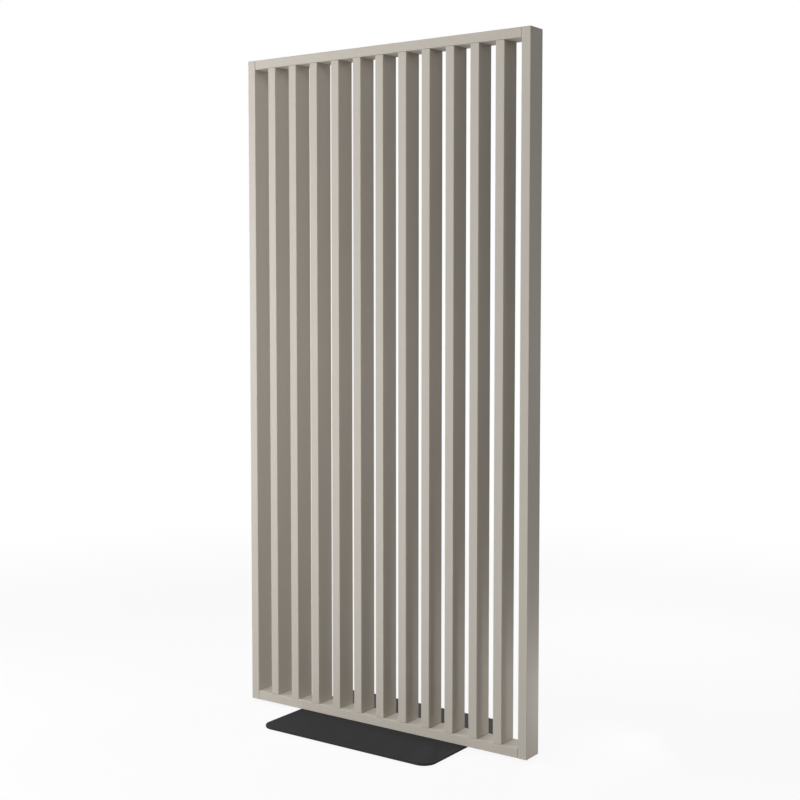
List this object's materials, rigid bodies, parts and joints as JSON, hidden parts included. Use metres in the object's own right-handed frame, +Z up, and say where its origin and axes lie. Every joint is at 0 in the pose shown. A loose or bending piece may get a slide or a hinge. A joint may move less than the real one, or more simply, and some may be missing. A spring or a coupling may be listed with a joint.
{
  "type": "garden privacy screen",
  "caption": "Free-standing upright panel of rectangular metal profiles with edge-on slats between two rails and two stiles, bolted to a flat steel base plate with round corners.",
  "frame": {"origin": "on the floor, under the middle of the base plate and of the panel", "axes": "+Z up, front face towards -Y, +X to the right seen from the front"},
  "size_m": [0.9, 0.404, 1.808],
  "materials": {
    "frame_coat": "warm grey powder coat, fine matt texture",
    "slat_coat": "warm grey powder coat, fine matt texture",
    "plug_plastic": "black moulded nylon",
    "connector_metal": "raw die casting",
    "cap_plastic": "warm grey moulded nylon, fine matt grain",
    "screw_steel": "stainless, plain",
    "base_coat": "charcoal powder coat, fine matt texture",
    "bar_steel": "zinc plated",
    "bolt_steel": "zinc plated",
    "pad_rubber": "matt"
  },
  "bodies": {
    "root": {"left_stile": "frame_coat", "right_stile": "frame_coat", "top_rail": "frame_coat", "bottom_rail": "frame_coat", "slat_01": "slat_coat", "slat_02": "slat_coat", "slat_03": "slat_coat", "slat_04": "slat_coat", "slat_05": "slat_coat", "slat_06": "slat_coat", "slat_07": "slat_coat", "slat_08": "slat_coat", "slat_09": "slat_coat", "slat_10": "slat_coat", "slat_11": "slat_coat", "slat_plugs_bottom": "plug_plastic", "slat_plugs_top": "plug_plastic", "connector_bottom_left": "connector_metal", "stile_cap_bottom_left": "cap_plastic", "connector_bottom_right": "connector_metal", "stile_cap_bottom_right": "cap_plastic", "connector_top_left": "connector_metal", "stile_cap_top_left": "cap_plastic", "connector_top_right": "connector_metal", "stile_cap_top_right": "cap_plastic", "rail_screws": "screw_steel", "base_plate": "base_coat", "nut_bar": "bar_steel", "base_bolts": "bolt_steel", "base_pads": "pad_rubber"}
  },
  "joints": []
}
